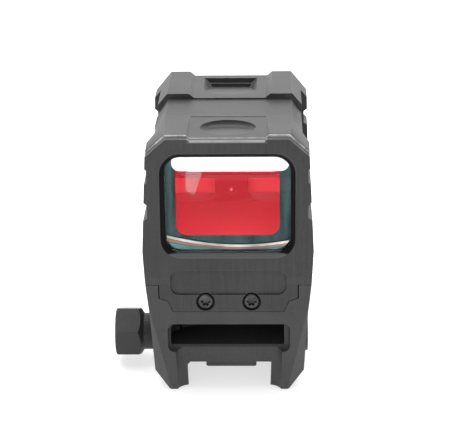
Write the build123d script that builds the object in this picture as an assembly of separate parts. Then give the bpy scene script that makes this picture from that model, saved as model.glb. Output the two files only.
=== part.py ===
from build123d import *
import math
import os

# Enclosed reflex sight on a riser clamp for a cross-slot rail.
# Frame: origin at the centre of the rail seat, +Z up, the objective end
# towards -Y, the eye end towards +Y.  All sizes are in millimetres.

# ---- driving dimensions: housing ----
FRONT_Y = -27.0
REAR_Y = 27.0
TOP_Z = 54.0
MID_TOP_Z = 52.6
CHANNEL_Z = 53.0
CHANNEL_FRONT_Z = 52.62
CHANNEL_END_Z = 52.56
SPLIT_Z = 19.45
KEEL_FRONT_Y = FRONT_Y + 0.5
KEEL_REAR_Y = 9.4
RIM_REAR_Y = FRONT_Y + 2.1
RAMP_REAR_Y = -6.6
REAR_BLOCK_Y = 6.3
CAVITY_HALF_WIDTH = 14.2
CAVITY_FLOOR_Z = 24.2
CAVITY_TOP_Z = 49.2
WALL_FIT = 0.1
STEP_FIT = 0.26
POCKET_FLOOR_Y = FRONT_Y + 0.9
POCKET_SIZE = (25.5, 5.9)
POCKET_Z = 20.1

# Right half of each cross-section, (x, z), from the top down to the split.
RIM_TOP_Z = 53.45
LEDGE_TOP_Z = 52.91
RIM_BEVEL = 0.27
FRONT_FLANK = [(18.0, 42.0), (18.68, 27.4), (18.27, SPLIT_Z)]
RIM_HALF = [(13.55, RIM_TOP_Z), (17.68, 49.62)] + FRONT_FLANK
RIM_EDGE_HALF = [(13.43, RIM_TOP_Z - RIM_BEVEL), (17.68, 49.24)] + FRONT_FLANK
LEDGE_HALF = [(13.3, LEDGE_TOP_Z), (17.68, 49.0)] + FRONT_FLANK
MID_HALF = [(14.3, MID_TOP_Z), (16.5, 49.5), (16.7, 42.0), (17.3, 27.4), (17.1, SPLIT_Z)]
REAR_HALF = [(14.5, TOP_Z), (18.2, 49.5), (18.35, 42.0), (18.68, 27.4), (18.27, SPLIT_Z)]
FLARE_END_HALF = [(13.85, 53.1), (17.82, 49.35), (18.05, 42.0), (18.6, 27.4), (18.22, SPLIT_Z)]
FLARE_START_HALF = [(14.2, 52.75), (16.5, 49.5), (16.75, 42.0), (17.4, 27.4), (17.15, SPLIT_Z)]
SHOULDER_SECTIONS = [
    (RIM_EDGE_HALF, RIM_REAR_Y),
    (RIM_HALF, RIM_REAR_Y + RIM_BEVEL),
    (FLARE_END_HALF, -17.4),
    (FLARE_START_HALF, -10.6),
    (MID_HALF, RAMP_REAR_Y),
]
EAR_FRONT_Y = 19.5
EAR_STEP_HALF = [(16.65, 60.0), (16.75, 34.0), (19.5, 31.2), (22.0, 60.0)]
KEEL_HALF = [(15.2, SPLIT_Z), (15.2, 16.4), (13.25, 15.65), (12.2, 13.17)]
KEEL_BOTTOM_Z = 13.17

# Two shallow grooves on each flank: (high z, low z) of each.
GROOVES = ((46.5, 42.75), (38.6, 34.7))
GROOVE_DEPTH = 0.5
FLANK_X = 17.95

# ---- driving dimensions: windows ----
FRONT_CLEAR = (13.7, 26.7, 48.7)
FRONT_BEVEL = 1.0
FRONT_CORNER = 3.6
LENS_FRONT_Y = -25.4
LENS_REAR_Y = -19.4
LENS_SAG_RADIUS = 62.0
LENS_CLEAR = (13.85, 26.55, 48.85)
REAR_CLEAR = (13.6, 28.4, 48.5)
REAR_GLASS_Y = 23.4
REAR_GLASS_THICK = 2.0
SEAL_THICK = 0.35

# ---- driving dimensions: electronics and battery ----
BATTERY_DIAMETER = 16.0
BATTERY_THICK = 3.2
TRAY_CENTRE_Y = -2.3
TRAY_WIDTH = 17.0
TRAY_Z = (19.7, 23.5)
DOOR_Z = (19.7, 25.0)
DOOR_X = (14.7, 16.5)
TRAY_INNER_X = -3.6
BOARD_Z = 15.8
BUTTON_DIAMETER = 4.2
BUTTON_Z = 21.8
BUTTON_YS = {"button_up": -4.6, "button_down": 2.6}
RUNNING_FIT = 0.06

# ---- driving dimensions: emitter and its adjusters ----
POD_Y = (16.0, 20.0)
POD_HALF_WIDTH = 4.0
POD_TOP_Z = 29.8
LED_Z = 27.3
ADJUSTER_DIAMETER = 6.0
WINDAGE_AT = (17.8, 22.6)
ELEVATION_AT = (0.0, 22.9)
SLIDE_Z = (20.3, 23.4)
POD_FOOT_Z = 23.9

# ---- driving dimensions: rail clamp ----
MOUNT_FRONT_Y = FRONT_Y + 0.5
MOUNT_REAR_Y = 12.0
LEG_BOTTOM_Z = -5.6
MOUNT_HALF = [(18.27, SPLIT_Z - WALL_FIT), (17.95, 16.6), (17.56, 12.8), (16.75, -2.2), (13.4, LEG_BOTTOM_Z)]
SEAT_FRONT_Y = -24.1
SEAT_BLOCK_TOP_Z = 4.4
BEAM_BOTTOM_Z = 10.15
CAVITY_X = (-13.45, 12.3)
CAVITY_REAR_Y = -13.5
CAVITY_CORNER = 7.0
JAW_APEX_Z = -2.9
FIXED_APEX_X = 11.25
FIXED_LIP_X = 9.7
SEAT_RIGHT_X = 9.43
CHANNEL_LEFT_X = -11.3
SEAT_LEFT_X = -8.75
SEAT_RELIEF_Z = 0.25
MOVING_LIP_X = -8.85
MOVING_APEX_X = -10.4
JAW_Y = (-16.4, 1.2)
JAW_LIP_FRONT_Y = -7.2
JAW_LIP_BOTTOM_Z = -4.7
JAW_TOP_Z = 5.45
JAW_GAP = 0.12
BOLT_AT = (-9.3, 1.2)
BOLT_DIAMETER = 5.0
BOLT_END_X = -25.4
BOLT_HEAD_X = 17.9
NUT_FACE_X = -26.5
NUT_HEX_END_X = -21.4
NUT_COLLAR_X = -20.0
NUT_FLATS = 10.6
NUT_COLLAR_DIAMETER = 8.45
NUT_CORNER_ANGLE = 19.5
JAW_FACE_X = -16.85
SPRING_YS = (-14.2, -4.4)
SPRING_Z = 2.9
SPRING_START_X = -10.9
SPRING_LENGTH = 3.0
SPRING_PITCH = 0.75
SPRING_RADIUS = 0.95
SPRING_WIRE = 0.36
LUG_X = (-5.3, 6.1)
LUG_Y = (-21.8, -16.8)
LUG_BOTTOM_Z = -2.3
SCREW_X = 5.08
SCREW_Z = 15.44
SCREW_HEAD_DIAMETER = 3.4
SCREW_BORE_DIAMETER = 4.2

# ---- driving dimensions: bay cover ----
COVER_HALF_WIDTH = 10.15
COVER_Y = (-13.15, 7.15)
COVER_TOP_Z = 14.25
COVER_SCREWS = [(x, y) for x in (-8.8, 8.8) for y in (-11.8, 5.8)]


# ---- geometry helpers ----
def box(xs, ys, zs):
    """Block between two values on each axis."""
    size = (xs[1] - xs[0], ys[1] - ys[0], zs[1] - zs[0])
    centre = ((xs[0] + xs[1]) / 2, (ys[0] + ys[1]) / 2, (zs[0] + zs[1]) / 2)
    return Pos(*centre) * Box(*size)


def rod(axis, start, end, first, second, diameter):
    """Cylinder along X, Y or Z; first and second are its other two coordinates in order."""
    length = end - start
    middle = (start + end) / 2
    cylinder = Cylinder(diameter / 2, length)
    if axis == "X":
        return Pos(middle, first, second) * Rot(0, 90, 0) * cylinder
    if axis == "Y":
        return Pos(first, middle, second) * Rot(90, 0, 0) * cylinder
    return Pos(first, second, middle) * cylinder


def face_at(points, y):
    """Flat face from (x, z) points in the plane at y."""
    return make_face(Polyline(*[(x, y, z) for x, z in points], close=True))


def prism(points, y_start, y_end):
    """Closed (x, z) outline drawn out along Y."""
    return extrude(face_at(points, y_start), y_end - y_start, dir=(0, 1, 0))


def both_sides(half):
    """Whole outline from its right half."""
    return half + [(-x, z) for x, z in reversed(half)]


def window_face(clear, y, corner, grow=0.0):
    """Rounded rectangle (half width, low z, high z) in the plane at y."""
    half_width, low, high = clear
    plane = Plane((0, y, (low + high) / 2), x_dir=(1, 0, 0), z_dir=(0, -1, 0))
    return plane * RectangleRounded(2 * (half_width + grow), high - low + 2 * grow, corner + grow)


def window_block(clear, y_start, y_end, corner, grow=0.0):
    """Rounded rectangle drawn out along Y."""
    return extrude(window_face(clear, y_end, corner, grow), y_end - y_start, dir=(0, -1, 0))


def six_lobe(y_start, depth, x, z, diameter):
    """Six-lobed driver recess along Y."""
    recess = rod("Y", y_start, y_start + depth, x, z, diameter * 0.72)
    for index in range(6):
        angle = math.radians(60 * index)
        lobe_x = x + 0.36 * diameter * math.cos(angle)
        lobe_z = z + 0.36 * diameter * math.sin(angle)
        recess += rod("Y", y_start, y_start + depth, lobe_x, lobe_z, diameter * 0.26)
    return recess


# ---- housing ----
def scoop_floor(near_y, far_y, near_z, far_z):
    """Everything above a floor that slopes from its near edge to its deeper far edge."""
    reach = 10
    slope = (near_z - far_z) / (far_y - near_y)
    side = Polyline(
        (-reach, near_y - 2, near_z + 2 * slope),
        (-reach, near_y, near_z),
        (-reach, far_y, far_z),
        (-reach, far_y + 2, far_z),
        (-reach, far_y + 2, TOP_Z + 2),
        (-reach, near_y - 2, TOP_Z + 2),
        close=True,
    )
    return extrude(make_face(side), 2 * reach, dir=(1, 0, 0))


def front_scoop():
    """Round thumb dish behind the rim: deep at its far wall, level with the channel at the near edge."""
    radius = 6.35
    centre_y = -17.1
    depth = 1.55
    tilt = math.degrees(math.atan2(depth, 2 * radius))
    cutter = Cylinder(radius, 6)
    cutter = fillet(cutter.edges().group_by(Axis.Z)[0], 1.45)
    middle_z = CHANNEL_FRONT_Z - depth / 2 + 0.05
    return Pos(0, centre_y, middle_z) * Rot(-tilt, 0, 0) * Pos(0, 0, 3) * cutter


def rear_scoop():
    """Rounded hollow in the rear channel with two steps in its far wall."""
    radius = 6.4
    near_y = 9.1
    far_y = 24.4
    low_z = CHANNEL_Z - 1.95
    step_z = CHANNEL_Z - 1.15
    outline = Pos(0, near_y + radius, 0) * Circle(radius)
    run = far_y - near_y - radius
    outline += Pos(0, far_y - run / 2, 0) * Rectangle(2 * radius, run)
    bowl = extrude(Pos(0, 0, CHANNEL_Z + 0.01) * outline, 1.99, dir=(0, 0, -1), taper=42)
    upper = both_sides([(radius, CHANNEL_Z + 0.01), (4.95, step_z)])
    lower = both_sides([(5.1, step_z + 0.05), (4.45, low_z)])
    hollow = bowl + prism(upper, far_y - 5, far_y) + prism(lower, far_y - 6, far_y - 1)
    return hollow & scoop_floor(near_y - 0.2, far_y - 1.2, CHANNEL_Z + 0.05, low_z)


def side_grooves(y_start, y_end):
    """Two shallow grooves with 45-degree flanks on each flank."""
    cutters = []
    bottom = FLANK_X - GROOVE_DEPTH
    outside = FLANK_X + 1.5
    spread = 1.1
    for high, low in GROOVES:
        for side in (-1, 1):
            points = [
                (side * outside, high + spread),
                (side * bottom, high - GROOVE_DEPTH),
                (side * bottom, low + GROOVE_DEPTH),
                (side * outside, low - spread),
            ]
            cutters.append(prism(points, y_start, y_end))
    return cutters


def housing_shell():
    """Outer form: front plate, flared shoulders, narrow middle and rear block."""
    ledge = prism(both_sides(LEDGE_HALF), FRONT_Y, RIM_REAR_Y)
    shoulders = loft([face_at(both_sides(half), y) for half, y in SHOULDER_SECTIONS], ruled=True)
    middle = prism(both_sides(MID_HALF), RAMP_REAR_Y, REAR_BLOCK_Y)
    rear = prism(both_sides(REAR_HALF), REAR_BLOCK_Y, REAR_Y)
    for side in (-1, 1):
        step = [(side * x, z) for x, z in EAR_STEP_HALF]
        rear -= prism(step, REAR_BLOCK_Y - 1, EAR_FRONT_Y)
    keel = prism(both_sides(KEEL_HALF), KEEL_FRONT_Y, KEEL_REAR_Y)
    return ledge + shoulders + middle + rear + keel


def channel_section(bottom, z, y):
    """Flat face across the channel: narrow at the bottom, with sloping sides."""
    rise = 3.0
    spread = 1.17 * rise
    return face_at(both_sides([(bottom + spread, z + rise), (bottom, z)]), y)


def top_cuts():
    """Centre channels in the shoulders and the rear block, and the two thumb scoops."""
    front_channel = loft(
        [channel_section(8.1, CHANNEL_FRONT_Z, FRONT_Y - 0.5), channel_section(8.4, CHANNEL_END_Z, -8.1)], ruled=True
    )
    rear_channel = loft(
        [channel_section(8.2, CHANNEL_Z, 5), channel_section(8.75, CHANNEL_Z, REAR_Y + 1)], ruled=True
    )
    edge = Polyline(
        (-9.5, FRONT_Y - 0.1, CHANNEL_FRONT_Z - 0.5),
        (-9.5, FRONT_Y + 0.42, CHANNEL_FRONT_Z + 0.02),
        (-9.5, FRONT_Y + 0.42, CHANNEL_FRONT_Z + 0.5),
        (-9.5, FRONT_Y - 0.1, CHANNEL_FRONT_Z + 0.5),
        close=True,
    )
    bevel = extrude(make_face(edge), 19, dir=(1, 0, 0))
    width = both_sides([(9.5, 54), (8.1, CHANNEL_FRONT_Z), (8.2, 50)])
    bevel &= prism(width, FRONT_Y - 1, FRONT_Y + 1)
    return [front_channel, bevel, rear_channel, front_scoop(), rear_scoop()]


def window_cuts():
    """Bevelled openings, lens seat, light tunnel and rear window seat."""
    bevel_front = window_face(FRONT_CLEAR, FRONT_Y, FRONT_CORNER, FRONT_BEVEL)
    bevel_inner = window_face(FRONT_CLEAR, FRONT_Y + FRONT_BEVEL, FRONT_CORNER)
    rear_pocket = REAR_GLASS_Y - 0.05
    return [
        loft([bevel_front, bevel_inner], ruled=True),
        window_block(FRONT_CLEAR, FRONT_Y + FRONT_BEVEL, LENS_FRONT_Y, FRONT_CORNER),
        window_block(LENS_CLEAR, LENS_FRONT_Y - 0.05, LENS_REAR_Y + 0.05, FRONT_CORNER, SEAL_THICK),
        window_block((CAVITY_HALF_WIDTH, CAVITY_FLOOR_Z, CAVITY_TOP_Z), LENS_REAR_Y, 21.6, 3.0),
        box((-CAVITY_HALF_WIDTH, CAVITY_HALF_WIDTH), (LENS_REAR_Y, 21.6), (CAVITY_FLOOR_Z, 28.5)),
        window_block(REAR_CLEAR, 21.5, REAR_Y + 1, FRONT_CORNER),
        window_block(REAR_CLEAR, rear_pocket, REAR_Y + 1, FRONT_CORNER, 0.3 + SEAL_THICK),
    ]


def bay_cuts():
    """Electronics bay, battery slot, switch bay and the bores of the moving controls."""
    tray_ys = (TRAY_CENTRE_Y - TRAY_WIDTH / 2 - 0.1, TRAY_CENTRE_Y + TRAY_WIDTH / 2 + 0.1)
    cuts = [
        box((-11.2, 11.2), (-14.2, 8.2), (14.3, 19.0)),
        box((-10.2, 10.2), (-13.2, 7.2), (13.0, 14.4)),
        box((TRAY_INNER_X - 0.3, 20), tray_ys, (TRAY_Z[0] - 0.1, TRAY_Z[1] + 0.1)),
        box((DOOR_X[0] - 0.05, 20), (tray_ys[0], REAR_BLOCK_Y), (DOOR_Z[0] - 0.1, DOOR_Z[1] + 0.1)),
        box((2.0, 7.0), (-5.0, 0.4), (18.9, 19.7)),
        box((-14.6, -10.6), (-8.6, 6.2), (18.9, 23.9)),
        box((-11.4, -10.5), (-8.6, 6.2), (15.0, 23.9)),
        box((-8.7, 8.7), (-22.2, -18.8), (12.9, 18.3)),
        box((-6.1, 6.1), (14.2, 20.9), (SLIDE_Z[0] - 0.1, 24.4)),
        rod("X", 6.0, 16.3, *WINDAGE_AT, 2.4),
        rod("X", 16.2, 20, *WINDAGE_AT, ADJUSTER_DIAMETER + 2 * RUNNING_FIT),
        rod("Y", 20.8, 25.3, *ELEVATION_AT, 2.4),
        rod("Y", 25.2, 28, *ELEVATION_AT, ADJUSTER_DIAMETER + 2 * RUNNING_FIT),
        rod("X", 12.4, 15.5, 7.8, 22.3, 1.4),
    ]
    for y in BUTTON_YS.values():
        cuts.append(rod("X", -20, -14.5, y, BUTTON_Z, BUTTON_DIAMETER + 2 * RUNNING_FIT))
    for side in (-1, 1):
        cuts.append(rod("Y", -28, -25.2, side * SCREW_X, SCREW_Z, SCREW_BORE_DIAMETER))
        cuts.append(rod("Y", -25.3, -22.0, side * SCREW_X, SCREW_Z, 2.3))
    return cuts


def front_face_cuts():
    """Sloping lower band and the plain shallow pocket above the two screws."""
    slope = Polyline(
        (-20, FRONT_Y - 0.2, 21.4),
        (-20, FRONT_Y, 21.4),
        (-20, KEEL_FRONT_Y, SPLIT_Z),
        (-20, FRONT_Y - 0.2, SPLIT_Z),
        close=True,
    )
    plane = Plane((0, POCKET_FLOOR_Y, POCKET_Z), x_dir=(1, 0, 0), z_dir=(0, -1, 0))
    pocket = extrude(plane * RectangleRounded(*POCKET_SIZE, 1.9), 2, dir=(0, -1, 0))
    return [extrude(make_face(slope), 40, dir=(1, 0, 0)), pocket]


def housing():
    """One-piece milled body of the sight."""
    shell = housing_shell()
    for cutter in top_cuts() + window_cuts() + bay_cuts() + front_face_cuts():
        shell -= cutter
    for cutter in side_grooves(FRONT_Y - 1, -17.0) + side_grooves(EAR_FRONT_Y - 0.5, REAR_Y + 1):
        shell -= cutter
    return shell


# ---- optics ----
def front_lens():
    """Thick collimating lens with a hollow spherical rear face."""
    block = window_block(LENS_CLEAR, LENS_FRONT_Y, LENS_REAR_Y, FRONT_CORNER)
    hollow = Pos(0, LENS_REAR_Y - 2.6 + LENS_SAG_RADIUS, 37.7) * Sphere(LENS_SAG_RADIUS)
    return block - hollow


def frame_seal(clear, y_start, y_end, corner):
    """Thin gasket round a window."""
    outer = window_block(clear, y_start, y_end, corner, SEAL_THICK - 0.01)
    return outer - window_block(clear, y_start - 1, y_end + 1, corner, 0.01)


def rear_window():
    """Flat coated glass at the eye end."""
    return window_block(REAR_CLEAR, REAR_GLASS_Y, REAR_GLASS_Y + REAR_GLASS_THICK, FRONT_CORNER, 0.3)


def rear_bezel():
    """Frame that holds the rear glass in its seat."""
    start = REAR_GLASS_Y + REAR_GLASS_THICK + 0.02
    outer = window_block(REAR_CLEAR, start, REAR_Y - 0.35, FRONT_CORNER, 0.3 + SEAL_THICK - 0.02)
    inner_face = window_face(REAR_CLEAR, start - 0.01, FRONT_CORNER, -0.5)
    outer_face = window_face(REAR_CLEAR, REAR_Y, FRONT_CORNER, 0.45)
    return outer - loft([inner_face, outer_face], ruled=True)


def floor_baffle():
    """Matt floor plate with cross ribs that stop stray light."""
    plate = box((-14.0, 14.0), (-19.0, 21.4), (CAVITY_FLOOR_Z + 0.02, 24.75))
    for index in range(18):
        y = -10.4 + 1.4 * index
        rib = Polyline((-12.6, y, 24.7), (-12.6, y + 1.1, 24.7), (-12.6, y + 0.5, 25.25), close=True)
        plate += extrude(make_face(rib), 25.2, dir=(1, 0, 0))
    for side in (-1, 1):
        pad = Pos(side * 8.6, 17.2, 24.7) * RectangleRounded(7.4, 6.4, 2.6)
        plate += extrude(pad, 0.6)
    plate -= box((-POD_HALF_WIDTH - 0.6, POD_HALF_WIDTH + 0.6), (POD_Y[0] - 0.6, POD_Y[1] + 0.6), (24, 26))
    edges = plate.edges().filter_by(Axis.Z).group_by(Axis.Y)[0]
    return fillet(edges, 1.5)


# ---- emitter ----
def emitter_block():
    """Dark pod that carries the emitter, narrower at its foot."""
    head = box((-POD_HALF_WIDTH, POD_HALF_WIDTH), POD_Y, (25.6, POD_TOP_Z))
    head = fillet(head.edges().filter_by(Axis.Y), 0.6)
    foot = prism([(-3.6, 25.8), (-2.2, POD_FOOT_Z), (2.2, POD_FOOT_Z), (3.6, 25.8)], POD_Y[0] + 0.4, POD_Y[1])
    bore = rod("Y", POD_Y[0] - 1, POD_Y[0] + 1.6, 0, LED_Z, 2.4)
    return head + foot - bore


def emitter_led():
    """Emitter chip in its round can."""
    can = rod("Y", POD_Y[0] + 0.7, POD_Y[0] + 1.59, 0, LED_Z, 2.3)
    return can + rod("Y", POD_Y[0] + 0.35, POD_Y[0] + 0.75, 0, LED_Z, 1.0)


def windage_slide():
    """Cross slide below the floor that carries the pod."""
    block = box((-5.5, 5.5), (14.6, 20.4), SLIDE_Z)
    return block - rod("X", 4.0, 6, WINDAGE_AT[0], WINDAGE_AT[1], 1.6)


def adjuster(axis, head_start, head_end, stem_start, first, second):
    """Coin-slot adjusting screw: knurled head and a plain stem."""
    head = rod(axis, min(head_start, head_end), max(head_start, head_end), first, second, ADJUSTER_DIAMETER)
    stem = rod(axis, min(stem_start, head_start), max(stem_start, head_start), first, second, 2.2)
    along = (head_end - 0.8, head_end + 1)
    half_slot = 0.45
    reach = 2.4
    if axis == "X":
        slot = box(along, (first - half_slot, first + half_slot), (second - reach, second + reach))
    else:
        slot = box((first - reach, first + reach), along, (second - half_slot, second + half_slot))
    return head + stem - slot


# ---- electronics and battery ----
def circuit_board():
    """Main board in the keel."""
    board = box((-10.8, 10.8), (-13.8, 7.8), (BOARD_Z, BOARD_Z + 0.9))
    chips = [((-8.0, -3.0), (-11.0, -6.0)), ((5.0, 8.6), (-11.5, -8.0)), ((-2.0, 1.0), (3.0, 5.4))]
    for xs, ys in chips:
        board += box(xs, ys, (BOARD_Z + 0.9, BOARD_Z + 1.9))
    return board


def battery_contact():
    """Bent leaf spring under the cell."""
    points = [
        (2.6, BOARD_Z + 0.92),
        (5.9, BOARD_Z + 0.92),
        (6.5, 18.2),
        (5.6, 19.55),
        (3.4, 19.2),
        (3.4, 19.0),
        (5.4, 19.3),
        (6.1, 18.2),
        (5.6, BOARD_Z + 1.2),
        (2.6, BOARD_Z + 1.2),
    ]
    return prism(points, -3.4, -1.2)


def switch_board():
    """Upright board with the two dome switches' lands."""
    return box((-12.2, -11.5), (-8.2, 5.8), (19.2, 23.4))


def switch_domes():
    """Two metal snap domes, one behind each button."""
    domes = []
    for y in BUTTON_YS.values():
        dome = rod("X", -12.55, -12.22, y, BUTTON_Z, 3.4)
        domes.append(dome + rod("X", -12.85, -12.5, y, BUTTON_Z, 2.0))
    return Compound(children=domes)


def button(y):
    """Domed push button with a retaining flange inside the wall."""
    stem = rod("X", -17.9, -14.2, y, BUTTON_Z, BUTTON_DIAMETER)
    stem = fillet(stem.edges().group_by(Axis.X)[0], 0.45)
    ridge = box((-18.05, -17.5), (y - 1.3, y + 1.3), (BUTTON_Z - 0.25, BUTTON_Z + 0.25))
    flange = box((-14.45, -13.75), (y - 2.7, y + 2.7), (BUTTON_Z - 2.3, BUTTON_Z + 1.95))
    return stem + ridge + flange


def bay_cover():
    """Plate that closes the electronics bay from below."""
    plate = box((-COVER_HALF_WIDTH, COVER_HALF_WIDTH), COVER_Y, (KEEL_BOTTOM_Z, COVER_TOP_Z))
    for x, y in COVER_SCREWS:
        plate -= rod("Z", 13, 15, x, y, 1.5)
        plate -= rod("Z", 13, 13.75, x, y, 2.4)
    return plate


def cover_screws():
    """Four small countersunk screws in the bay cover."""
    screws = []
    for x, y in COVER_SCREWS:
        screw = rod("Z", 13.3, 13.74, x, y, 2.3) + rod("Z", 13.6, COVER_TOP_Z, x, y, 1.45)
        screws.append(screw - box((x - 0.9, x + 0.9), (y - 0.15, y + 0.15), (13.2, 13.5)))
    return Compound(children=screws)


def battery_tray():
    """Drawer for the coin cell, with its door."""
    ys = (TRAY_CENTRE_Y - TRAY_WIDTH / 2, TRAY_CENTRE_Y + TRAY_WIDTH / 2)
    drawer = box((TRAY_INNER_X, DOOR_X[0] + 0.1), ys, TRAY_Z)
    drawer -= rod("Z", TRAY_Z[0] + 0.45, TRAY_Z[1] + 1, 5.0, TRAY_CENTRE_Y, BATTERY_DIAMETER + 0.2)
    drawer -= rod("Z", TRAY_Z[0] - 1, TRAY_Z[0] + 1, 5.0, TRAY_CENTRE_Y, 11.0)
    drawer -= seal_ring(TRAY_Z)
    door = box(DOOR_X, (ys[0], ys[1]), DOOR_Z)
    door = fillet(door.edges().filter_by(Axis.X), 0.8)
    grip = box((16.1, 17), (TRAY_CENTRE_Y - 6, TRAY_CENTRE_Y - 1), (21.0, 21.5))
    grip += box((16.1, 17), (TRAY_CENTRE_Y - 6, TRAY_CENTRE_Y - 1), (23.0, 23.5))
    return drawer + door - grip - rod("X", 14, 17, 4.0, 22.4, 2.7)


def battery():
    """Coin cell with its crimped rim."""
    low = TRAY_Z[0] + 0.47
    cell = rod("Z", low, low + BATTERY_THICK, 5.0, TRAY_CENTRE_Y, BATTERY_DIAMETER)
    return chamfer(cell.edges(), 0.25)


def tray_screw():
    """Captive slotted screw in the tray door."""
    head = rod("X", 14.75, 16.45, 4.0, 22.4, 2.6)
    return head - box((15.9, 17), (2.9, 5.1), (22.2, 22.6))


def seal_ring(zs):
    """Square-section ring let into the drawer just behind its door."""
    ys = (TRAY_CENTRE_Y - TRAY_WIDTH / 2, TRAY_CENTRE_Y + TRAY_WIDTH / 2)
    outer = box((13.9, 14.4), ys, zs)
    return outer - box((13, 15), (ys[0] + 0.35, ys[1] - 0.35), (zs[0] + 0.35, zs[1] - 0.35))


def tray_seal():
    """Soft ring that seals the drawer."""
    return seal_ring(TRAY_Z)


# ---- rail clamp ----
def mount_body():
    """Outline of the riser with its trough for the sight's keel."""
    body = prism(both_sides(MOUNT_HALF), MOUNT_FRONT_Y, MOUNT_REAR_Y)
    fit = WALL_FIT
    trough = [(x + fit, z - fit) for x, z in KEEL_HALF]
    trough[0] = (KEEL_HALF[0][0] + STEP_FIT, SPLIT_Z + 1)
    trough[1] = (KEEL_HALF[1][0] + STEP_FIT, KEEL_HALF[1][1] - fit)
    body -= prism(both_sides(trough), MOUNT_FRONT_Y - 1, KEEL_REAR_Y + fit)
    lug = box((-8.5, 8.5), (-22.1, -18.9), (KEEL_BOTTOM_Z - 0.3, 18.1))
    return body + lug


def rail_channel():
    """Slot for the rail, with the fixed jaw's V groove on the right."""
    right = [
        (SEAT_RIGHT_X, 0.0),
        (SEAT_RIGHT_X, JAW_APEX_Z + FIXED_APEX_X - SEAT_RIGHT_X),
        (FIXED_APEX_X, JAW_APEX_Z),
        (FIXED_LIP_X, JAW_APEX_Z - (FIXED_APEX_X - FIXED_LIP_X)),
        (FIXED_LIP_X, -7.0),
    ]
    left = [(CHANNEL_LEFT_X, -7.0), (CHANNEL_LEFT_X, CHANNEL_LEFT_X - SEAT_LEFT_X), (SEAT_LEFT_X, 0.0)]
    jaw_room = (JAW_Y[0] - JAW_GAP, JAW_Y[1] + JAW_GAP)
    relief = box((CHANNEL_LEFT_X - 0.1, SEAT_LEFT_X), jaw_room, (-3, SEAT_RELIEF_Z))
    return prism(left + right, SEAT_FRONT_Y - 0.1, MOUNT_REAR_Y + 1) + relief


def front_frame_cuts():
    """Open front pocket: wide above, narrower between the legs."""
    start = MOUNT_FRONT_Y - 3
    upper_half = [(13.6, BEAM_BOTTOM_Z), (13.6, SEAT_BLOCK_TOP_Z - 1.0)]
    upper = prism(both_sides(upper_half), start, SEAT_FRONT_Y)
    upper = fillet(upper.edges().filter_by(Axis.Y), 1.55)
    upper_rear = upper.edges().filter_by(Axis.Z).group_by(Axis.Y)[-1]
    upper = fillet(upper_rear, 1.9)
    lower_half = [(12.0, SEAT_BLOCK_TOP_Z - 0.5), (11.65, -7.0)]
    lower = prism(both_sides(lower_half), start, SEAT_FRONT_Y)
    lower_rear = [edge for edge in lower.edges().group_by(Axis.Y)[-1] if abs(edge.center().X) > 11]
    return [upper, fillet(lower_rear, 3.3)]


def leg_facets():
    """Slanting facets on the front corners of the riser."""
    facets = []
    for side in (-1, 1):
        top = (side * 18.1, MOUNT_FRONT_Y - 0.01, 16.2)
        foot_front = (side * 12.9, MOUNT_FRONT_Y - 0.01, LEG_BOTTOM_Z - 0.5)
        foot_side = (side * 18.1, MOUNT_FRONT_Y + 5.2, LEG_BOTTOM_Z - 0.5)
        corner = (side * 18.1, MOUNT_FRONT_Y - 0.01, LEG_BOTTOM_Z - 0.5)
        faces = [
            make_face(Polyline(top, foot_front, foot_side, close=True)),
            make_face(Polyline(top, foot_front, corner, close=True)),
            make_face(Polyline(top, foot_side, corner, close=True)),
            make_face(Polyline(foot_front, foot_side, corner, close=True)),
        ]
        facets.append(Solid(Shell(faces)))
    return facets


def mount_base():
    """Riser milled in one piece, with the fixed jaw."""
    y, z = BOLT_AT
    body = mount_body() - rail_channel()
    for pocket in front_frame_cuts():
        body -= pocket
    cavity = box(CAVITY_X, (SEAT_FRONT_Y - 0.5, CAVITY_REAR_Y), (SEAT_BLOCK_TOP_Z, BEAM_BOTTOM_Z))
    cavity = fillet(cavity.edges().filter_by(Axis.Z).group_by(Axis.Y)[-1].group_by(Axis.X)[0], CAVITY_CORNER)
    body -= cavity
    body -= box((-20, -11.0), (JAW_Y[0] - JAW_GAP, JAW_Y[1] + JAW_GAP), (-7, JAW_TOP_Z + JAW_GAP))
    body += rod("X", 15.5, 17.9, y, z, 9.0) & box((15.5, 18), (y - 6, y + 6), (-4.4, 8))
    body -= rod("X", -20, 20, y, z, BOLT_DIAMETER + 0.2)
    for spring_y in SPRING_YS:
        body -= rod("X", -12, SPRING_START_X + SPRING_LENGTH + 0.3, spring_y, SPRING_Z, 2.7)
    body -= rod("X", 15.2, 20, y, z, 7.4)
    body -= box((LUG_X[0], LUG_X[1]), LUG_Y, (-1, 2.4))
    for side in (-1, 1):
        body -= rod("Y", -22.5, -18.5, side * SCREW_X, SCREW_Z, 1.9)
    for facet in leg_facets():
        body -= facet
    return body


def recoil_lug():
    """Steel cross bar let into the seat."""
    bar = box((LUG_X[0] + 0.02, LUG_X[1] - 0.02), (LUG_Y[0] + 0.02, LUG_Y[1] - 0.02), (LUG_BOTTOM_Z, 2.38))
    return chamfer(bar.edges().group_by(Axis.Z)[0], 0.4)


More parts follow.
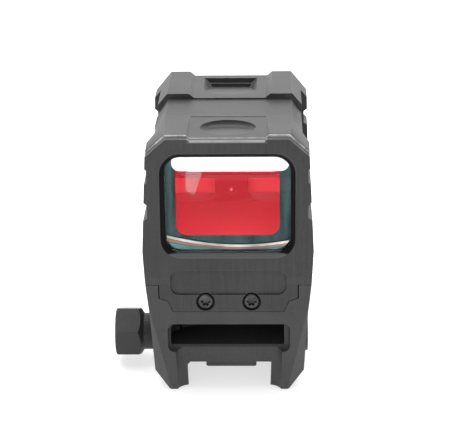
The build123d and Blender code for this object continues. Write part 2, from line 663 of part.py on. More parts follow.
def clamp_jaw():
    """Moving jaw with the V groove that grips the rail."""
    outline = [
        (JAW_FACE_X - 0.25, JAW_TOP_Z),
        (-16.75, -2.2),
        (-13.4, LEG_BOTTOM_Z),
        (-11.2, LEG_BOTTOM_Z),
        (MOVING_LIP_X, JAW_LIP_BOTTOM_Z),
        (MOVING_LIP_X, JAW_APEX_Z - (MOVING_LIP_X - MOVING_APEX_X)),
        (MOVING_APEX_X, JAW_APEX_Z),
        (-8.95, JAW_APEX_Z + 1.45),
        (-8.95, -0.2),
        (CHANNEL_LEFT_X - 0.1, -0.2),
        (CHANNEL_LEFT_X - 0.1, JAW_TOP_Z),
    ]
    jaw = prism(outline, *JAW_Y)
    jaw -= box((CHANNEL_LEFT_X - 0.3, -5), (JAW_Y[0] - 1, JAW_LIP_FRONT_Y), (-7, JAW_APEX_Z))
    return jaw - rod("X", -20, -5, *BOLT_AT, BOLT_DIAMETER + 0.4)


def cross_bolt():
    """Bolt across the riser: countersunk six-lobe head on the right, thread on the left."""
    y, z = BOLT_AT
    bolt = rod("X", BOLT_END_X, 16, y, z, BOLT_DIAMETER) + rod("X", 15.25, BOLT_HEAD_X - 0.3, y, z, 7.3)
    bolt = chamfer(bolt.edges().group_by(Axis.X)[0], 0.5)
    socket = rod("X", BOLT_HEAD_X - 1.8, 19, y, z, 2.6)
    for index in range(6):
        angle = math.radians(60 * index)
        socket += rod("X", BOLT_HEAD_X - 1.8, 19, y + 1.35 * math.cos(angle), z + 1.35 * math.sin(angle), 1.0)
    return bolt - socket


def clamp_nut():
    """Tall hexagon nut with a round collar that bears on the moving jaw."""
    y, z = BOLT_AT
    radius = NUT_FLATS / math.sqrt(3)
    points = []
    for index in range(6):
        angle = math.radians(180 - NUT_CORNER_ANGLE + 60 * index)
        points.append((NUT_FACE_X, y + radius * math.cos(angle), z + radius * math.sin(angle)))
    hexagon = extrude(make_face(Polyline(*points, close=True)), NUT_COLLAR_X - NUT_FACE_X, dir=(1, 0, 0))
    profile = Polyline(
        (NUT_FACE_X, 0, 0),
        (NUT_FACE_X, 0, radius - 0.95),
        (NUT_FACE_X + 0.45, 0, radius + 0.05),
        (NUT_HEX_END_X + 0.2, 0, radius + 0.05),
        (NUT_COLLAR_X, 0, NUT_COLLAR_DIAMETER / 2),
        (NUT_COLLAR_X, 0, 0),
        close=True,
    )
    turned = Pos(0, y, z) * revolve(make_face(profile), Axis.X, 360)
    collar = rod("X", NUT_COLLAR_X - 0.1, JAW_FACE_X - 0.3, y, z, NUT_COLLAR_DIAMETER)
    nut = (hexagon & turned) + collar
    return nut - rod("X", NUT_FACE_X - 1, -15, y, z, BOLT_DIAMETER + 0.1)


def clamp_springs():
    """Two small coil springs that push the jaw open."""
    springs = []
    for y in SPRING_YS:
        path = Helix(SPRING_PITCH, SPRING_LENGTH, SPRING_RADIUS)
        wire = Plane(path @ 0, z_dir=path % 0) * Circle(SPRING_WIRE / 2)
        coil = sweep(wire, path, is_frenet=True)
        springs.append(Pos(SPRING_START_X, y, SPRING_Z) * Rot(0, 90, 0) * coil)
    return Compound(children=springs)


def mount_screws():
    """Two six-lobe screws that hold the sight's keel to the riser."""
    screws = []
    for side in (-1, 1):
        x = side * SCREW_X
        head = rod("Y", FRONT_Y + 0.75, -25.22, x, SCREW_Z, SCREW_HEAD_DIAMETER)
        head = chamfer(head.edges().group_by(Axis.Y)[0], 0.2)
        shank = rod("Y", -25.3, -19.4, x, SCREW_Z, 1.88)
        screws.append(head + shank - six_lobe(FRONT_Y + 0.5, 1.1, x, SCREW_Z, 2.3))
    return Compound(children=screws)


def build_parts():
    """Every node's name with its shape."""
    front_seal = frame_seal(LENS_CLEAR, LENS_FRONT_Y, LENS_REAR_Y, FRONT_CORNER)
    rear_glass_end = REAR_GLASS_Y + REAR_GLASS_THICK
    grown = (REAR_CLEAR[0] + 0.3, REAR_CLEAR[1] - 0.3, REAR_CLEAR[2] + 0.3)
    parts = {
        "housing": housing(),
        "front_lens": front_lens(),
        "front_lens_seal": front_seal,
        "rear_window": rear_window(),
        "rear_window_seal": frame_seal(grown, REAR_GLASS_Y, rear_glass_end, FRONT_CORNER + 0.3),
        "rear_bezel": rear_bezel(),
        "floor_baffle": floor_baffle(),
        "emitter_block": emitter_block(),
        "emitter_led": emitter_led(),
        "windage_slide": windage_slide(),
        "windage_adjuster": adjuster("X", 16.25, 17.9, 6.3, *WINDAGE_AT),
        "elevation_adjuster": adjuster("Y", 25.25, 26.8, 20.95, *ELEVATION_AT),
        "circuit_board": circuit_board(),
        "battery_contact": battery_contact(),
        "switch_board": switch_board(),
        "switch_domes": switch_domes(),
        "bay_cover": bay_cover(),
        "cover_screws": cover_screws(),
        "battery_tray": battery_tray(),
        "battery": battery(),
        "tray_seal": tray_seal(),
        "tray_screw": tray_screw(),
        "mount_base": mount_base(),
        "recoil_lug": recoil_lug(),
        "clamp_jaw": clamp_jaw(),
        "cross_bolt": cross_bolt(),
        "clamp_nut": clamp_nut(),
        "clamp_springs": clamp_springs(),
        "mount_screws": mount_screws(),
    }
    for name, y in BUTTON_YS.items():
        parts[name] = button(y)
    return parts


os.makedirs("parts", exist_ok=True)
for name, shape in build_parts().items():
    export_step(shape, f"parts/{name}.step")
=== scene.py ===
import math

import bmesh
import bpy
from mathutils import Matrix, Vector


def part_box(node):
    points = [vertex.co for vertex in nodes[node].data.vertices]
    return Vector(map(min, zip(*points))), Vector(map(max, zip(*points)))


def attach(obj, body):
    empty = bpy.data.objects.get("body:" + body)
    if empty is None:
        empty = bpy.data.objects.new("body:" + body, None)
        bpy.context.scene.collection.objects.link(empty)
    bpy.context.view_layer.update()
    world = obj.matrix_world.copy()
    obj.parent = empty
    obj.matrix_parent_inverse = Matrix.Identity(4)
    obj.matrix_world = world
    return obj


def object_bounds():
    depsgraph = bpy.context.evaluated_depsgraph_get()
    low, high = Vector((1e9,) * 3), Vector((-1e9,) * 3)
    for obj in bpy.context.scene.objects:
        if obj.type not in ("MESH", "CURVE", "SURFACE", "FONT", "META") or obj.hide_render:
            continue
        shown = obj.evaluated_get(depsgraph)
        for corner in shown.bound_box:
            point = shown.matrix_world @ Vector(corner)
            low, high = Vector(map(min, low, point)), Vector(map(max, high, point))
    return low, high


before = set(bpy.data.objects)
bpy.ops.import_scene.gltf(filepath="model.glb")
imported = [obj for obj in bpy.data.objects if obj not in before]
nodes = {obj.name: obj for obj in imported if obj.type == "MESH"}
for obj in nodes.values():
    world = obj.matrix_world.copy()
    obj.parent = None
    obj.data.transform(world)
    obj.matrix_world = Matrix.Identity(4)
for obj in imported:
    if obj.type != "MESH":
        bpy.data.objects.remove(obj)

MM = 0.001
cad_low, cad_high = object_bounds()
scene = bpy.context.scene


# ---- node helpers ----
class Shader:
    """A small wrapper for building one node material."""

    def __init__(self, name):
        self.material = bpy.data.materials.new(name)
        self.material.use_nodes = True
        self.tree = self.material.node_tree
        self.tree.nodes.clear()
        self.output = self.add("ShaderNodeOutputMaterial")
        self.coordinates = self.add("ShaderNodeTexCoord").outputs["Object"]

    def add(self, kind, **settings):
        node = self.tree.nodes.new(kind)
        for key, value in settings.items():
            setattr(node, key, value)
        return node

    def link(self, source, target):
        self.tree.links.new(source, target)

    def finish(self, surface):
        self.link(surface, self.output.inputs["Surface"])
        return self.material

    def stretched(self, scale):
        """Object coordinates multiplied along each axis."""
        mapping = self.add("ShaderNodeMapping")
        mapping.inputs["Scale"].default_value = scale
        self.link(self.coordinates, mapping.inputs["Vector"])
        return mapping.outputs["Vector"]

    def noise(self, scale, detail=3.0, rough=0.5, stretch=None):
        node = self.add("ShaderNodeTexNoise")
        node.inputs["Scale"].default_value = scale
        node.inputs["Detail"].default_value = detail
        node.inputs["Roughness"].default_value = rough
        source = self.coordinates if stretch is None else self.stretched(stretch)
        self.link(source, node.inputs["Vector"])
        return node.outputs["Fac"]

    def ramp(self, value, low, high, out_low=0.0, out_high=1.0):
        node = self.add("ShaderNodeMapRange")
        node.inputs["From Min"].default_value = low
        node.inputs["From Max"].default_value = high
        node.inputs["To Min"].default_value = out_low
        node.inputs["To Max"].default_value = out_high
        self.link(value, node.inputs["Value"])
        return node.outputs["Result"]

    def math(self, operation, first, second):
        node = self.add("ShaderNodeMath", operation=operation)
        for socket, value in zip(node.inputs, (first, second)):
            if isinstance(value, (int, float)):
                socket.default_value = value
            else:
                self.link(value, socket)
        return node.outputs[0]

    def mix(self, factor, first, second):
        """Colour mix; each side is a colour tuple or a socket."""
        node = self.add("ShaderNodeMix", data_type="RGBA")
        self.link(factor, node.inputs["Factor"])
        for socket, value in ((node.inputs[6], first), (node.inputs[7], second)):
            if isinstance(value, tuple):
                socket.default_value = (*value, 1.0)
            else:
                self.link(value, socket)
        return node.outputs[2]

    def bump(self, height, distance, strength):
        node = self.add("ShaderNodeBump")
        node.inputs["Strength"].default_value = strength
        node.inputs["Distance"].default_value = distance
        self.link(height, node.inputs["Height"])
        return node.outputs["Normal"]

    def axis_part(self, vector, axis):
        node = self.add("ShaderNodeSeparateXYZ")
        self.link(vector, node.inputs[0])
        return node.outputs[axis]

    def place(self, axis):
        """Position along one axis of the shared frame, in metres."""
        return self.axis_part(self.coordinates, axis)

    def inside(self, axis, low, high, soft):
        """1 between low and high along an axis, fading over the soft distance."""
        rise = self.ramp(self.place(axis), low - soft, low + soft)
        fall = self.ramp(self.place(axis), high - soft, high + soft, 1.0, 0.0)
        return self.math("MULTIPLY", rise, fall)

    def edges(self, radius):
        """1 at sharp edges and 0 on flats, from the difference between rounded and true normal."""
        rounded = self.add("ShaderNodeBevel", samples=6)
        rounded.inputs["Radius"].default_value = radius
        geometry = self.add("ShaderNodeNewGeometry")
        dot = self.add("ShaderNodeVectorMath", operation="DOT_PRODUCT")
        self.link(rounded.outputs["Normal"], dot.inputs[0])
        self.link(geometry.outputs["Normal"], dot.inputs[1])
        return self.ramp(dot.outputs["Value"], 0.98, 0.80)


# ---- where the housing's finish and its painted light and shade change, measured from the housing, the glass and the emitter ----
HOUSING_LOW, HOUSING_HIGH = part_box("housing")
LENS_LOW, LENS_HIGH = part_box("front_lens")
REAR_GLASS_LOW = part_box("rear_window")[0]
LED_LOW, LED_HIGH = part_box("emitter_led")

FACE_Y = HOUSING_HIGH.y - 0.07 * MM
RIM_BEVEL_Y = (HOUSING_LOW.y + 2.07 * MM, HOUSING_LOW.y + 2.26 * MM)
RIM_FADE_Z = (HOUSING_HIGH.z - 12.0 * MM, HOUSING_HIGH.z - 7.0 * MM)
CHANNEL_LIP_Y = (HOUSING_LOW.y + 0.02 * MM, HOUSING_LOW.y + 0.45 * MM)
CHANNEL_LIP_Z = (HOUSING_HIGH.z - 2.1 * MM, HOUSING_HIGH.z - 1.95 * MM)
CHANNEL_HALF_WIDTH = 8.6 * MM
WINDOW_HALF_WIDTH = LENS_HIGH.x + 0.87 * MM
SILL_REAR_Y = HOUSING_LOW.y + 3.0 * MM
SILL_Z = (LENS_LOW.z - 0.95 * MM, LENS_LOW.z + 0.2 * MM)
TUNNEL_Z = (LENS_LOW.z + 0.35 * MM, LENS_HIGH.z + 0.87 * MM)
END_WALL_Y = (REAR_GLASS_LOW.y - 1.9 * MM, REAR_GLASS_LOW.y - 1.7 * MM)
END_WALL_Z = (REAR_GLASS_LOW.z - 3.9 * MM, REAR_GLASS_LOW.z + 0.5 * MM)
EMITTER_Z = (LED_LOW.z + LED_HIGH.z) / 2
# Heights over which the rubbed edges and their painted highlight fade in towards the top.
RUB_AND_HIGHLIGHT_FADE_Z = (HOUSING_HIGH.z - 20.0 * MM, HOUSING_HIGH.z - 8.0 * MM)
# Heights over which the painted crevice shade fades out towards the top.
CREVICE_SHADE_FADE_Z = (HOUSING_HIGH.z - 30.0 * MM, HOUSING_HIGH.z - 27.0 * MM)
# Colour and strength of the rubbed edges with their painted highlight.
RUBBED_AND_LIT_EDGE = (0.40, 0.40, 0.41)
RUB_AND_HIGHLIGHT_AMOUNT = 0.5


# ---- materials ----
def streak_lines(shader, colour, light, amount):
    """Fine upright machining streaks on the faces that look along Y."""
    geometry = shader.add("ShaderNodeNewGeometry")
    facing = shader.math("ABSOLUTE", shader.axis_part(geometry.outputs["Normal"], 1), 0.0)
    front = shader.ramp(facing, 0.93, 0.99)
    lines = shader.ramp(shader.noise(1.0, 4.0, 0.7, (1500.0, 40.0, 60.0)), 0.40, 0.70)
    amount = shader.math("MULTIPLY", shader.math("MULTIPLY", front, lines), amount)
    return shader.mix(amount, colour, tuple(1.9 * part for part in light))


def bright_edges(shader, colour, patchy):
    """Rubbed sharp edges with a painted highlight, mostly on the upper half where the light falls."""
    # Painted highlight: rubbed edges are lightened more towards the top, where the light falls.
    high_up = shader.ramp(shader.place(2), *RUB_AND_HIGHLIGHT_FADE_Z, 0.25, 1.0)
    amount = shader.math("MULTIPLY", shader.math("MULTIPLY", shader.edges(0.22 * MM), patchy), high_up)
    return shader.mix(shader.math("MULTIPLY", amount, RUB_AND_HIGHLIGHT_AMOUNT), colour, RUBBED_AND_LIT_EDGE)


def bright_front_lines(shader, colour, patchy):
    """Painted highlights on the narrow bevels behind the front rim and at the front of the top channel,
    in patches.
    """
    # Painted highlight on the bevel behind the front rim, upper part only.
    rim = shader.math("MULTIPLY", shader.inside(1, *RIM_BEVEL_Y, 0.015 * MM), patchy)
    rim = shader.math("MULTIPLY", rim, shader.ramp(shader.place(2), *RIM_FADE_Z))
    colour = shader.mix(rim, colour, (0.62, 0.62, 0.63))
    # Painted highlight on the front lip of the top channel, broken into patches.
    lip_patches = shader.ramp(shader.noise(260.0, 3.0), 0.35, 0.6, 0.7, 1.0)
    lip = shader.math("MULTIPLY", shader.inside(1, *CHANNEL_LIP_Y, 0.03 * MM), lip_patches)
    lip = shader.math("MULTIPLY", lip, shader.ramp(shader.place(2), *CHANNEL_LIP_Z))
    across = shader.inside(0, -CHANNEL_HALF_WIDTH, CHANNEL_HALF_WIDTH, 0.1 * MM)
    lip = shader.math("MULTIPLY", lip, across)
    return shader.mix(lip, colour, (0.30, 0.30, 0.31))


def window_tones(shader, colour):
    """Painted light on the sill and on a band of the rear wall, and a black light tunnel; gives the
    colour and the tunnel's mask.
    """
    across = shader.inside(0, -WINDOW_HALF_WIDTH, WINDOW_HALF_WIDTH, 0.03 * MM)
    behind = shader.inside(1, -FACE_Y, FACE_Y, 0.03 * MM)
    within = shader.math("MULTIPLY", across, behind)
    # Painted light: the sill is lightened where light falls on it.
    sill = shader.math("MULTIPLY", across, shader.inside(1, -FACE_Y, SILL_REAR_Y, 0.03 * MM))
    sill = shader.math("MULTIPLY", sill, shader.inside(2, *SILL_Z, 0.02 * MM))
    colour = shader.mix(sill, colour, (0.115, 0.115, 0.115))
    tunnel = shader.math("MULTIPLY", within, shader.inside(2, *TUNNEL_Z, 0.1 * MM))
    colour = shader.mix(tunnel, colour, (0.008, 0.008, 0.008))
    # Painted light: a pale band on the rear wall, lit from above.
    end_wall = shader.math("MULTIPLY", within, shader.inside(1, *END_WALL_Y, 0.05 * MM))
    end_wall = shader.math("MULTIPLY", end_wall, shader.inside(2, *END_WALL_Z, 0.1 * MM))
    return shader.mix(end_wall, colour, (0.36, 0.36, 0.36)), tunnel


def blasted_metal(name, dark, light, rough=0.5, streaks=0.0, grain=5200.0, bore=False):
    """Bead-blasted, hard-anodised metal: fine grain, blotches, machining streaks, worn edges with a
    painted highlight, and painted shade in crevices low down.
    """
    shader = Shader(name)
    blotches = shader.ramp(shader.noise(90.0, 4.0, 0.6), 0.35, 0.65)
    colour = shader.mix(blotches, dark, light)
    fine = shader.noise(grain, 2.0, 0.6)
    speckle = shader.ramp(fine, 0.4, 0.8, 0.0, 0.4)
    colour = shader.mix(speckle, colour, tuple(1.8 * part for part in light))
    if streaks:
        colour = streak_lines(shader, colour, light, streaks)
    patchy = shader.ramp(shader.noise(700.0, 3.0), 0.35, 0.6, 0.35, 1.0)
    colour = bright_edges(shader, colour, patchy)
    gloss = shader.ramp(fine, 0.3, 0.7, 0.29, 0.35)
    if bore:
        colour = bright_front_lines(shader, colour, patchy)
        colour, tunnel = window_tones(shader, colour)
        gloss = shader.math("MULTIPLY", gloss, shader.ramp(tunnel, 0.0, 1.0, 1.0, 0.2))
    # Painted shade: colour darkened to near-black in crevices and gaps low down, standing in for contact
    # shadow.
    crevice = shader.add("ShaderNodeAmbientOcclusion", samples=6)
    crevice.inputs["Distance"].default_value = 0.45 * MM
    low_down = shader.ramp(shader.place(2), *CREVICE_SHADE_FADE_Z, 1.0, 0.0)
    painted_crevice_shade = shader.math("MULTIPLY", shader.ramp(crevice.outputs["AO"], 0.62, 0.30), low_down)
    colour = shader.mix(painted_crevice_shade, colour, (0.002, 0.002, 0.002))
    surface = shader.add("ShaderNodeBsdfPrincipled")
    shader.link(gloss, surface.inputs["Specular IOR Level"])
    shader.link(colour, surface.inputs["Base Color"])
    shader.link(shader.ramp(fine, 0.3, 0.7, rough - 0.05, rough + 0.1), surface.inputs["Roughness"])
    relief = shader.bump(fine, 0.02 * MM, 0.6)
    shader.link(relief, surface.inputs["Normal"])
    return shader.finish(surface.outputs[0])


def steel(name, dark, light, rough, metallic):
    """Machined steel with a fine ground texture and small rubs."""
    shader = Shader(name)
    rubs = shader.ramp(shader.noise(420.0, 5.0, 0.7), 0.42, 0.7)
    colour = shader.mix(rubs, dark, light)
    amount = shader.math("MULTIPLY", shader.edges(0.18 * MM), 0.35)
    colour = shader.mix(amount, colour, tuple(min(1.0, 2.2 * part) for part in light))
    surface = shader.add("ShaderNodeBsdfPrincipled")
    surface.inputs["Metallic"].default_value = metallic
    shader.link(colour, surface.inputs["Base Color"])
    shader.link(shader.ramp(rubs, 0.0, 1.0, rough + 0.08, rough - 0.05), surface.inputs["Roughness"])
    ground = shader.noise(1.0, 2.0, 0.5, (2500.0, 2500.0, 2500.0))
    shader.link(shader.bump(ground, 0.012 * MM, 0.5), surface.inputs["Normal"])
    return shader.finish(surface.outputs[0])


def plastic(name, dark, light, rough, grain, depth):
    """Moulded plastic or rubber with a fine spark-eroded texture."""
    shader = Shader(name)
    fine = shader.noise(grain, 3.0, 0.6)
    colour = shader.mix(shader.ramp(shader.noise(160.0, 3.0), 0.35, 0.65), dark, light)
    surface = shader.add("ShaderNodeBsdfPrincipled")
    shader.link(colour, surface.inputs["Base Color"])
    shader.link(shader.ramp(fine, 0.3, 0.7, rough - 0.06, rough + 0.08), surface.inputs["Roughness"])
    shader.link(shader.bump(fine, depth, 0.7), surface.inputs["Normal"])
    return shader.finish(surface.outputs[0])


def film(name, through, mirror, rough=0.02, streak=0.0, stretch=(130.0, 130.0, 130.0)):
    """Thin coating, also used for the sheets that paint glints and reflections in the lens: mirror is
    what it reflects, through is what it lets past, together white or less.
    """
    shader = Shader(name)
    clear = shader.add("ShaderNodeBsdfTransparent")
    clear.inputs["Color"].default_value = (*through, 1.0)
    gloss = shader.add("ShaderNodeBsdfGlossy")
    gloss.inputs["Roughness"].default_value = rough
    smear = shader.ramp(shader.noise(1.0, 3.0, 0.5, stretch), 0.3, 0.7)
    darker = tuple(part * (1.0 - streak) for part in mirror)
    shader.link(shader.mix(smear, mirror, darker), gloss.inputs["Color"])
    both = shader.add("ShaderNodeAddShader")
    shader.link(clear.outputs[0], both.inputs[0])
    shader.link(gloss.outputs[0], both.inputs[1])
    return shader.finish(both.outputs[0])


def glowing(name, colour, strength):
    """Emitter chip: a tiny lit spot in the middle of a dark can."""
    shader = Shader(name)
    middle = shader.add("ShaderNodeVectorMath", operation="DISTANCE")
    shader.link(shader.stretched((1.0, 0.0, 1.0)), middle.inputs[0])
    middle.inputs[1].default_value = (0.0, 0.0, EMITTER_Z)
    spot = shader.ramp(middle.outputs["Value"], 0.16 * MM, 0.28 * MM, strength, 0.0)
    surface = shader.add("ShaderNodeBsdfPrincipled")
    can = shader.mix(shader.noise(1500.0, 2.0), (0.02, 0.02, 0.02), (0.05, 0.04, 0.04))
    shader.link(can, surface.inputs["Base Color"])
    surface.inputs["Roughness"].default_value = 0.4
    surface.inputs["Emission Color"].default_value = (*colour, 1.0)
    shader.link(spot, surface.inputs["Emission Strength"])
    return shader.finish(surface.outputs[0])


BODY = blasted_metal(
    "anodised_body", (0.031, 0.031, 0.0315), (0.040, 0.040, 0.0405), streaks=0.3, bore=True
)
MOUNT = blasted_metal("anodised_mount", (0.043, 0.043, 0.0435), (0.053, 0.053, 0.0535), streaks=0.12)
NUT = blasted_metal("blackened_nut", (0.030, 0.030, 0.031), (0.038, 0.038, 0.039), 0.45, grain=3800.0)
BLACK_STEEL = steel("black_oxide_steel", (0.05, 0.05, 0.052), (0.10, 0.10, 0.105), 0.34, 0.8)
BRIGHT_STEEL = steel("spring_steel", (0.50, 0.50, 0.50), (0.68, 0.68, 0.67), 0.26, 1.0)
CELL = steel("nickel_cell", (0.55, 0.54, 0.52), (0.70, 0.69, 0.66), 0.22, 1.0)
BAFFLE = plastic("matt_baffle", (0.026, 0.026, 0.026), (0.038, 0.038, 0.038), 0.7, 3000.0, 0.004 * MM)
POD = plastic("pod_black", (0.002, 0.002, 0.002), (0.004, 0.004, 0.004), 0.9, 3000.0, 0.02 * MM)
RUBBER = plastic("button_rubber", (0.022, 0.022, 0.024), (0.034, 0.034, 0.036), 0.62, 2600.0, 0.03 * MM)
BOARD = plastic("solder_mask", (0.010, 0.060, 0.030), (0.018, 0.10, 0.05), 0.35, 2200.0, 0.01 * MM)
CLEAR = film("clear_coated_glass", (0.95, 0.96, 0.96), (0.010, 0.014, 0.014))
TEAL = film(
    "teal_antireflection", (0.03, 0.20, 0.20), (0.046, 0.074, 0.077), 0.03, 0.85, (620.0, 1.0, 60.0)
)
# The sheets below paint glints and reflections in the lens: foot band, edge glints, sheen and top band.
TEAL_FOOT_REFLECTION = film("lens_foot_teal_reflection", (0.03, 0.12, 0.12), (0.110, 0.225, 0.230), 0.05, 0.7)
SILVER_GLINT = film("lens_edge_glint_silver", (0.1, 0.1, 0.1), (0.62, 0.62, 0.60), 0.06, 0.7)
AMBER_GLINT = film("lens_edge_glint_amber", (0.1, 0.1, 0.1), (0.36, 0.17, 0.14), 0.06, 0.6)
SHEEN = film("lens_sheen", (0.80, 0.80, 0.80), (0.17, 0.17, 0.17), 0.04, 0.5)
TOP_BAND_REFLECTION = film("lens_top_band_reflection", (0.10, 0.12, 0.12), (0.82, 0.86, 0.86), 0.04, 0.06)
RED = film("red_dichroic", (0.55, 0.50, 0.52), (0.38, 0.003, 0.010), 0.03, 0.08)
LED = glowing("lit_emitter", (1.0, 0.25, 0.35), 3.0)

FINISH = {
    "housing": BODY,
    "mount_base": MOUNT,
    "clamp_jaw": MOUNT,
    "rear_bezel": BODY,
    "battery_tray": BODY,
    "clamp_nut": NUT,
    "cross_bolt": BLACK_STEEL,
    "recoil_lug": MOUNT,
    "mount_screws": BLACK_STEEL,
    "cover_screws": BLACK_STEEL,
    "tray_screw": BLACK_STEEL,
    "elevation_adjuster": BLACK_STEEL,
    "windage_adjuster": BLACK_STEEL,
    "front_lens_seal": RUBBER,
    "rear_window_seal": RUBBER,
    "tray_seal": RUBBER,
    "button_up": RUBBER,
    "button_down": RUBBER,
    "floor_baffle": BAFFLE,
    "windage_slide": BAFFLE,
    "bay_cover": BAFFLE,
    "emitter_block": POD,
    "emitter_led": LED,
    "circuit_board": BOARD,
    "switch_board": BOARD,
    "clamp_springs": BRIGHT_STEEL,
    "battery_contact": BRIGHT_STEEL,
    "switch_domes": BRIGHT_STEEL,
    "battery": CELL,
    "rear_window": CLEAR,
    "front_lens": CLEAR,
}


def dress_nodes():
    """Gives every carried-over piece its finish."""
    for name, node in nodes.items():
        for index in range(max(1, len(node.data.materials))):
            if index < len(node.data.materials):
                node.data.materials[index] = FINISH[name]
            else:
                node.data.materials.append(FINISH[name])


# Width of the edge break on each milled piece, in millimetres.
SOFTENED = {
    "housing": 0.14,
    "mount_base": 0.10,
    "clamp_jaw": 0.10,
    "clamp_nut": 0.12,
    "battery_tray": 0.08,
}


def soften_edges():
    """Small machined edge breaks on the milled pieces."""
    for name, width in SOFTENED.items():
        node = nodes[name]
        weld = node.modifiers.new("weld", "WELD")
        weld.merge_threshold = 0.002 * MM
        flat = node.modifiers.new("flats", "DECIMATE")
        flat.decimate_type = "DISSOLVE"
        flat.angle_limit = math.radians(1.5)
        rounding = node.modifiers.new("edge_break", "BEVEL")
        rounding.width = width * MM
        rounding.segments = 2
        rounding.limit_method = "ANGLE"
        rounding.angle_limit = math.radians(28)
        rounding.harden_normals = True


# ---- lens pieces ----
def new_piece(name, mesh_maker, material, body="sight_body"):
    """Mesh object from a bmesh function, riding on a body."""
    mesh = bpy.data.meshes.new(name)
    work = bmesh.new()
    mesh_maker(work)
    bmesh.ops.recalc_face_normals(work, faces=work.faces)
    work.to_mesh(mesh)
    work.free()
    mesh.materials.append(material)
    piece = bpy.data.objects.new(name, mesh)
    scene.collection.objects.link(piece)
    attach(piece, body)
    return piece


def rounded_outline(half_width, low, high, corner):
    """(x, z) points round a rectangle with round corners."""
    steps = 10
    points = []
    corners = [
        (half_width - corner, low + corner, -90),
        (half_width - corner, high - corner, 0),
        (-half_width + corner, high - corner, 90),
        (-half_width + corner, low + corner, 180),
    ]
    for x, z, start in corners:
        for step in range(steps + 1):
            angle = math.radians(start + 90 * step / steps)
            points.append((x + corner * math.cos(angle), z + corner * math.sin(angle)))
    return points


COAT_HALF_WIDTH = LENS_HIGH.x - 2.55 * MM
COAT_LOW = LENS_LOW.z + 3.75 * MM
COAT_HIGH = LENS_HIGH.z - 0.4 * MM
COAT_CORNER = 2.3 * MM


def coating_sheet(work):
    """Thin rounded rectangle just behind the lens's front face."""
    y = LENS_LOW.y + 1.2 * MM
    outline = rounded_outline(COAT_HALF_WIDTH, COAT_LOW, COAT_HIGH, COAT_CORNER)
    work.faces.new([work.verts.new((x, y, z)) for x, z in outline])


BORDER_HALF_WIDTH = LENS_HIGH.x - 0.2 * MM
BORDER_LOW = LENS_LOW.z + 0.2 * MM
BORDER_HIGH = LENS_HIGH.z - 0.2 * MM
BORDER_CORNER = 3.4 * MM


def border_sheet(work):
    """Clear border round the coating, where the lens shows a teal reflection."""
    y = LENS_LOW.y + 1.1 * MM
    inner = rounded_outline(COAT_HALF_WIDTH, COAT_LOW, COAT_HIGH, COAT_CORNER)
    outer = rounded_outline(BORDER_HALF_WIDTH, BORDER_LOW, BORDER_HIGH, BORDER_CORNER)
    outer_ring, inner_ring = [
        [work.verts.new((x, y, z)) for x, z in outline] for outline in (outer, inner)
    ]
    count = len(inner)
    for index in range(count):
        after = (index + 1) % count
        work.faces.new([outer_ring[index], outer_ring[after], inner_ring[after], inner_ring[index]])


RIBBON_HALF_WIDTH = LENS_HIGH.x - 0.5 * MM
SAG_AT = 0.2


def ribbon(low_middle, low_end, high_middle, high_end, forward):
    """Maker of a thin curved mirror band across the foot of the lens, a painted glint of the lens's
    lower edge.

    Heights are in millimetres above the lens's lower edge. The middle heights hold where the band sags
    most, right of the middle, and the end heights at its left end.
    """

    def maker(work):
        y = LENS_LOW.y + forward
        steps = 40
        rows = []
        for step in range(steps + 1):
            part = 2.0 * step / steps - 1.0
            bend = ((part - SAG_AT) / (1.0 + SAG_AT)) ** 2
            low = low_middle + (low_end - low_middle) * bend
            high = high_middle + (high_end - high_middle) * bend
            x = part * RIBBON_HALF_WIDTH
            rows.append([work.verts.new((x, y, LENS_LOW.z + height * MM)) for height in (low, high)])
        for before, after in zip(rows, rows[1:]):
            work.faces.new([before[0], after[0], after[1], before[1]])

    return maker


BAND_HALF_WIDTH = LENS_HIGH.x - 1.15 * MM
BAND_LOW = LENS_HIGH.z - 3.73 * MM
BAND_HIGH = LENS_HIGH.z - 0.1 * MM
BAND_CORNER = 1.75 * MM
BAND_OFFSET = 0.6 * MM


def white_band_sheet(work):
    """Mirror sheet painting the bright band along the top of the lens, where it bends the view out past
    the rear window.
    """
    y = LENS_LOW.y + 0.8 * MM
    outline = rounded_outline(BAND_HALF_WIDTH, BAND_LOW, BAND_HIGH, BAND_CORNER)
    work.faces.new([work.verts.new((x + BAND_OFFSET, y, z)) for x, z in outline])


def sheen_sheet(work):
    """Slanting pale reflection in the upper left of the lens."""
    y = LENS_LOW.y + 0.9 * MM
    corners = [(-9.1, 40.6), (-7.2, 39.6), (-5.3, 45.2), (-9.0, 45.2)]
    work.faces.new([work.verts.new((x * MM, y, z * MM)) for x, z in corners])


# The red coating and teal border are the lens's own coatings; the other sheets paint glints and
# reflections.
LENS_PIECES = [
    ("red_coating", coating_sheet, RED),
    ("lens_border", border_sheet, TEAL),
    ("lens_edge_glint_silver", ribbon(1.2, 3.35, 1.75, 3.95, 0.6 * MM), SILVER_GLINT),
    ("lens_edge_glint_amber", ribbon(0.75, 2.55, 1.15, 3.25, 0.6 * MM), AMBER_GLINT),
    ("lens_foot_glow", ribbon(0.25, 0.75, 0.7, 2.35, 0.7 * MM), TEAL_FOOT_REFLECTION),
    ("lens_top_band_reflection", white_band_sheet, TOP_BAND_REFLECTION),
    ("lens_sheen", sheen_sheet, SHEEN),
]
for piece_name, maker, finish in LENS_PIECES:
    new_piece(piece_name, maker, finish)


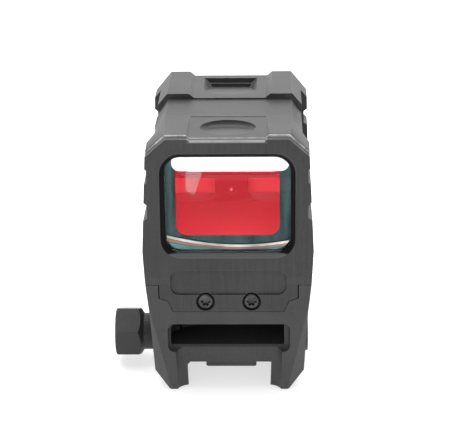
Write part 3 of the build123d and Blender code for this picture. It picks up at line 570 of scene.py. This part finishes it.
# ---- floor, light, camera ----
def floor_material():
    """Plain white light table, so the shadow stays faint."""
    shader = Shader("pale_floor")
    surface = shader.add("ShaderNodeBsdfPrincipled")
    tone = shader.mix(shader.noise(3.0, 2.0), (0.50, 0.50, 0.50), (0.54, 0.54, 0.54))
    shader.link(tone, surface.inputs["Base Color"])
    surface.inputs["Roughness"].default_value = 0.85
    surface.inputs["Emission Color"].default_value = (1.0, 1.0, 1.0, 1.0)
    surface.inputs["Emission Strength"].default_value = 0.66
    return shader.finish(surface.outputs[0])


def make_floor():
    """Flat floor just below the lowest point of the part."""
    mesh = bpy.data.meshes.new("floor")
    reach = 6.0
    z = cad_low.z - 0.2 * MM
    corners = [(-reach, -reach, z), (reach, -reach, z), (reach, reach, z), (-reach, reach, z)]
    mesh.from_pydata(corners, [], [(0, 1, 2, 3)])
    mesh.materials.append(floor_material())
    floor = bpy.data.objects.new("floor", mesh)
    scene.collection.objects.link(floor)


def area_light(name, place, target, width, height, power, colour=(1.0, 1.0, 1.0)):
    """Soft rectangular light at a place, facing a target."""
    data = bpy.data.lights.new(name, "AREA")
    data.shape = "RECTANGLE"
    data.size = width
    data.size_y = height
    data.energy = power
    data.color = colour
    light = bpy.data.objects.new(name, data)
    light.location = place
    light.rotation_mode = "QUATERNION"
    light.rotation_quaternion = (Vector(target) - Vector(place)).to_track_quat("-Z", "Y")
    scene.collection.objects.link(light)


def make_lights():
    """Even white surroundings, a large light above, one behind, a weak front one and the emitter's."""
    world = bpy.data.worlds.new("studio")
    world.use_nodes = True
    background = world.node_tree.nodes["Background"]
    background.inputs["Color"].default_value = (1.0, 1.0, 1.0, 1.0)
    background.inputs["Strength"].default_value = 0.5
    scene.world = world
    centre = (0.0, 0.0, 0.03)
    area_light("overhead", (0.0, 0.25, 0.9), centre, 1.2, 0.9, 15.0)
    area_light("rear_bank", (0.0, 1.5, 0.45), centre, 2.4, 0.9, 10.5)
    area_light("front_fill", (-0.5, -1.2, 0.35), centre, 0.8, 0.5, 1.6)
    behind_lens = (0.0, -17.5 * MM, 37.0 * MM)
    emitter = (0.0, 18.0 * MM, 26.0 * MM)
    area_light("emitter_glow", behind_lens, emitter, 0.02, 0.010, 0.03, (1.0, 0.09, 0.11))


CAMERA_ELEVATION = math.radians(19.50)
CAMERA_AZIMUTH = math.radians(1.398)
CAMERA_ROLL = math.radians(0.6255)
CAMERA_DISTANCE = 361.4 * MM
CAMERA_TARGET = Vector((-0.577 * MM, -27.0 * MM, 34.435 * MM))
CAMERA_LENS = 133.74
SENSOR_WIDTH = 36.0


def make_camera():
    """Camera looking at the target from its azimuth and elevation, turned by its roll."""
    ca, sa = math.cos(CAMERA_AZIMUTH), math.sin(CAMERA_AZIMUTH)
    ce, se = math.cos(CAMERA_ELEVATION), math.sin(CAMERA_ELEVATION)
    cr, sr = math.cos(CAMERA_ROLL), math.sin(CAMERA_ROLL)
    forward = Vector((-sa * ce, ca * ce, -se))
    level = Vector((ca, sa, 0.0))
    upright = Vector((-sa * se, ca * se, ce))
    right = level * cr - upright * sr
    up = level * sr + upright * cr
    data = bpy.data.cameras.new("camera")
    data.sensor_width = SENSOR_WIDTH
    data.lens = CAMERA_LENS
    data.clip_start = 0.01
    data.clip_end = 50.0
    camera = bpy.data.objects.new("camera", data)
    turn = Matrix((right, up, -forward)).transposed().to_4x4()
    camera.matrix_world = Matrix.Translation(CAMERA_TARGET - forward * CAMERA_DISTANCE) @ turn
    scene.collection.objects.link(camera)
    scene.camera = camera


dress_nodes()
soften_edges()
make_floor()
make_lights()
make_camera()
scene.view_settings.view_transform = "Standard"
